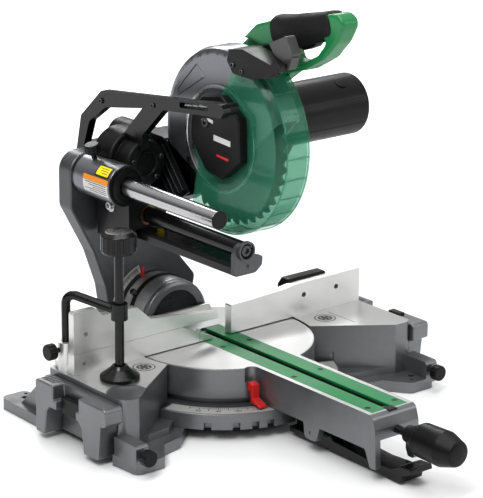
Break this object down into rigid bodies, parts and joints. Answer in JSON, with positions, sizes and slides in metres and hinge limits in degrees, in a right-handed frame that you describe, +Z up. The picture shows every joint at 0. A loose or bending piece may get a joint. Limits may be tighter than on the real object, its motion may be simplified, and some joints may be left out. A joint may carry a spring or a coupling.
{
  "type": "sliding miter saw",
  "caption": "Sliding compound miter saw: turntable with long slotted arm, split fence, work vise, slide pipes on a tilting column, guarded blade with side motor and D handle.",
  "frame": {"origin": "on the bench, on the axis the table turns about, which is also the centre of the bench bolt pattern", "axes": "+X to the operator's right along the fence, +Y away from the operator, +Z up; the fence faces lie in y = 0 and the saw cut in x = 0"},
  "size_m": [0.514, 0.642, 0.5182],
  "materials": {
    "cast_silver": "satin sand-cast aluminium",
    "machined_silver": "machined aluminium",
    "green_plastic": "moulded green plastic",
    "black_plastic": "moulded black plastic",
    "black_paint": "semi-gloss black powder coat",
    "chrome_steel": "hard chrome",
    "bright_steel": "ground steel",
    "dark_steel": "blackened steel",
    "scale_plate": "brushed scale plate",
    "red_pointer": "red enamel",
    "bearing_bronze": "sintered bronze",
    "clear_green": "clear green polycarbonate",
    "dark_cast": "dark grey painted casting",
    "kerf_green": "moulded green plastic",
    "winding_copper": "laminations and enamelled winding"
  },
  "bodies": {
    "base": {"base_casting": "cast_silver", "carry_grip_left": "cast_silver", "carry_grip_right": "cast_silver", "detent_plate": "machined_silver", "mitre_scale": "scale_plate", "fence_left": "cast_silver", "fence_right": "cast_silver", "fence_rear_cover": "black_plastic"},
    "support_knob_left": {"support_knob_left": "black_plastic"},
    "support_knob_right": {"support_knob_right": "black_plastic"},
    "vise_clamp_knob": {"vise_clamp_knob": "black_plastic"},
    "sliding_fence": {"fence_left_upper": "cast_silver"},
    "turntable": {"turntable": "cast_silver", "kerf_plate_left": "kerf_green", "kerf_plate_right": "kerf_green", "kerf_screws": "bright_steel", "mitre_pointer": "red_pointer", "pivot_bolt": "bright_steel", "bevel_cap": "cast_silver", "bevel_shaft": "bright_steel"},
    "mitre_handle": {"mitre_lock_knob": "black_plastic", "mitre_lock_rod": "bright_steel"},
    "detent_lever": {"detent_lever": "black_paint"},
    "tilting_column": {"column": "cast_silver", "upper_slide_pipe": "chrome_steel", "lower_slide_pipe": "chrome_steel", "pipe_cap": "black_plastic", "rail_beam": "dark_cast", "rail_bracket": "dark_cast"},
    "bevel_lever": {"bevel_lever": "black_plastic"},
    "carriage": {"carriage": "dark_cast", "slide_bushes": "bearing_bronze", "spring_drum": "black_plastic", "carry_frame": "black_paint", "frame_roller": "black_plastic", "hinge_shaft": "bright_steel"},
    "slide_lock_knob": {"slide_lock_knob": "black_plastic"},
    "saw_head": {"gear_case": "dark_cast", "blade_cover": "dark_cast", "spindle_cover": "black_paint", "guard_bracket": "black_paint", "handle_shell": "green_plastic", "motor_housing": "black_plastic", "motor_stator": "winding_copper", "ball_bearings": "bright_steel", "dust_duct": "black_plastic", "dust_port": "black_plastic"},
    "arbor": {"saw_blade": "bright_steel", "blade_flanges": "dark_steel", "spindle": "bright_steel", "driven_gear": "dark_steel"},
    "armature": {"armature": "winding_copper", "cooling_fan": "black_plastic"},
    "trigger": {"trigger": "black_plastic"},
    "guard_lever": {"guard_lever": "dark_steel"},
    "lower_guard": {"lower_guard": "clear_green"},
    "vise_arm": {"vise_arm": "black_paint"},
    "vise_foot": {"vise_foot": "dark_steel"},
    "vise_screw": {"vise_screw": "black_plastic"}
  },
  "joints": [
    {"name": "mitre_turn", "type": "hinge", "parent": "base", "child": "turntable", "pos_m": [0, 0, 0.08], "axis": [0, 0, 1], "range_deg": [-46, 46]},
    {"name": "mitre_handle_twist", "type": "hinge", "parent": "turntable", "child": "mitre_handle", "pos_m": [0, -0.342, 0.058], "axis": [0, -1, 0], "range_deg": [0, 90]},
    {"name": "detent_lever_lift", "type": "hinge", "parent": "turntable", "child": "detent_lever", "pos_m": [0, -0.21, 0.025], "axis": [-1, 0, 0], "range_deg": [0, 4.5], "stiffness_Nm_per_rad": 2, "springref_deg": -20.05},
    {"name": "bevel_tilt", "type": "hinge", "parent": "turntable", "child": "tilting_column", "pos_m": [0, 0.12, 0.08], "axis": [0, 1, 0], "range_deg": [-14, 5]},
    {"name": "bevel_lever_turn", "type": "hinge", "parent": "tilting_column", "child": "bevel_lever", "pos_m": [0, 0.186, 0.08], "axis": [0, 1, 0], "range_deg": [-40, 40]},
    {"name": "carriage_slide", "type": "slide", "parent": "tilting_column", "child": "carriage", "axis": [0, -1, 0], "range_m": [0, 0.16]},
    {"name": "slide_lock_turn", "type": "hinge", "parent": "carriage", "child": "slide_lock_knob", "pos_m": [-0.1065, 0.118, 0.3042], "axis": [-0.25, 0, 0.9682], "range_deg": [-90, 360]},
    {"name": "head_swing", "type": "hinge", "parent": "carriage", "child": "saw_head", "pos_m": [0, 0.172, 0.252], "axis": [1, 0, 0], "range_deg": [0, 45.8], "stiffness_Nm_per_rad": 9, "springref_deg": -137.51},
    {"name": "lower_guard_swing", "type": "hinge", "parent": "saw_head", "child": "lower_guard", "pos_m": [0, -0.016, 0.341], "axis": [1, 0, 0], "range_deg": [-118, 0]},
    {"name": "blade_spin", "type": "hinge", "parent": "saw_head", "child": "arbor", "pos_m": [0, -0.016, 0.341], "axis": [1, 0, 0], "continuous": true},
    {"name": "motor_spin", "type": "hinge", "parent": "saw_head", "child": "armature", "pos_m": [0, 0.0207, 0.3428], "axis": [1, 0, 0], "continuous": true},
    {"name": "trigger_pull", "type": "hinge", "parent": "saw_head", "child": "trigger", "pos_m": [0.032, -0.113, 0.47], "axis": [-1, 0, 0], "range_deg": [0, 4], "stiffness_Nm_per_rad": 1, "springref_deg": -14.32},
    {"name": "guard_lever_press", "type": "hinge", "parent": "saw_head", "child": "guard_lever", "pos_m": [-0.012, -0.139, 0.4555], "axis": [1, 0, 0], "range_deg": [0, 12], "stiffness_Nm_per_rad": 1, "springref_deg": -17.19},
    {"name": "fence_slide", "type": "slide", "parent": "base", "child": "sliding_fence", "axis": [-1, 0, 0], "range_m": [0, 0.06]},
    {"name": "vise_swing", "type": "hinge", "parent": "base", "child": "vise_arm", "pos_m": [-0.219, 0.024, 0.1], "axis": [0, 0, 1], "range_deg": [-20, 15]},
    {"name": "vise_travel", "type": "slide", "parent": "vise_arm", "child": "vise_foot", "axis": [0, 0, 1], "range_m": [0, 0.03]},
    {"name": "vise_screw_turn", "type": "hinge", "parent": "vise_foot", "child": "vise_screw", "pos_m": [-0.187, -0.04, 0.2], "axis": [0, 0, 1], "range_deg": [0, 3625]},
    {"name": "vise_clamp_turn", "type": "hinge", "parent": "base", "child": "vise_clamp_knob", "pos_m": [-0.235, 0.024, 0.107], "axis": [-1, 0, 0], "range_deg": [-90, 360]},
    {"name": "support_knob_left_turn", "type": "hinge", "parent": "base", "child": "support_knob_left", "pos_m": [-0.23, -0.15, 0.024], "axis": [0, -1, 0], "range_deg": [-90, 360]},
    {"name": "support_knob_right_turn", "type": "hinge", "parent": "base", "child": "support_knob_right", "pos_m": [0.23, -0.15, 0.024], "axis": [0, -1, 0], "range_deg": [-90, 360]}
  ],
  "couplings": [
    {"joint": "lower_guard_swing", "follows": "head_swing", "ratio": -2.576},
    {"joint": "motor_spin", "follows": "blade_spin", "ratio": -4.4444},
    {"joint": "vise_screw_turn", "follows": "vise_travel", "rad_per_m": 2094.4}
  ]
}
